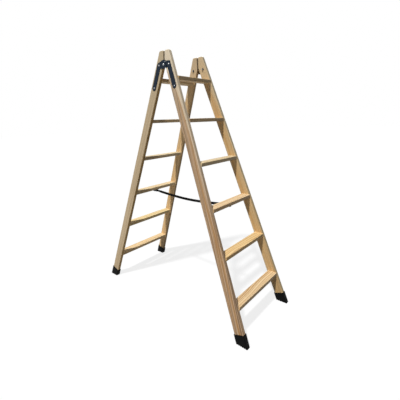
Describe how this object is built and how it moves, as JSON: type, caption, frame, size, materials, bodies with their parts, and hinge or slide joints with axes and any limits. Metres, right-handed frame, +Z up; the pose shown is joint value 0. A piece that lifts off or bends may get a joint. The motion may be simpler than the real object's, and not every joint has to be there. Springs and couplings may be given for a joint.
{
  "type": "wooden step ladder",
  "caption": "Free-standing wooden A-frame ladder with flat board treads on both sides, hinged rail heads, a stay rope and rubber shoes.",
  "frame": {"origin": "on the floor, in the middle of the open ladder's spread and width", "axes": "+Z up, +X along the treads, +Y from the front section's feet to the rear section's feet"},
  "size_m": [0.5166, 1.2402, 1.5998],
  "materials": {
    "rail_wood": "planed, matt",
    "tread_wood": "planed, matt",
    "pin_wood": "sawn flush",
    "rubber": "matt black",
    "hinge_steel": "satin dark",
    "fastener_steel": "bright zinc",
    "rope": "black braid"
  },
  "bodies": {
    "front_section": {"front_hinge_bolts": "fastener_steel", "front_hinge_nuts": "fastener_steel", "front_hinge_screws": "fastener_steel", "front_hinge_washers": "fastener_steel", "front_left_rail": "rail_wood", "front_left_shoe": "rubber", "front_right_rail": "rail_wood", "front_right_shoe": "rubber", "front_rope_clip": "hinge_steel", "front_rope_clip_screws": "fastener_steel", "front_rope_knot": "rope", "front_tread_1": "tread_wood", "front_tread_2": "tread_wood", "front_tread_3": "tread_wood", "front_tread_4": "tread_wood", "front_tread_5": "tread_wood", "front_tread_6": "tread_wood", "front_tread_pins": "pin_wood", "hinge_stop_pins": "fastener_steel", "left_hinge_front_plate": "hinge_steel", "left_hinge_pivot": "fastener_steel", "right_hinge_front_plate": "hinge_steel", "right_hinge_pivot": "fastener_steel", "stay_rope": "rope"},
    "rear_section": {"left_hinge_rear_plate": "hinge_steel", "rear_hinge_bolts": "fastener_steel", "rear_hinge_nuts": "fastener_steel", "rear_hinge_screws": "fastener_steel", "rear_hinge_washers": "fastener_steel", "rear_left_rail": "rail_wood", "rear_left_shoe": "rubber", "rear_right_rail": "rail_wood", "rear_right_shoe": "rubber", "rear_rope_clip": "hinge_steel", "rear_rope_clip_screws": "fastener_steel", "rear_rope_knot": "rope", "rear_tread_1": "tread_wood", "rear_tread_2": "tread_wood", "rear_tread_3": "tread_wood", "rear_tread_4": "tread_wood", "rear_tread_5": "tread_wood", "rear_tread_6": "tread_wood", "rear_tread_pins": "pin_wood", "right_hinge_rear_plate": "hinge_steel"}
  },
  "joints": [
    {"name": "fold", "type": "hinge", "parent": "front_section", "child": "rear_section", "pos_m": [0, 0, 1.517], "axis": [-1, 0, 0], "range_deg": [0, 39.6], "deforming": ["stay_rope"]}
  ]
}
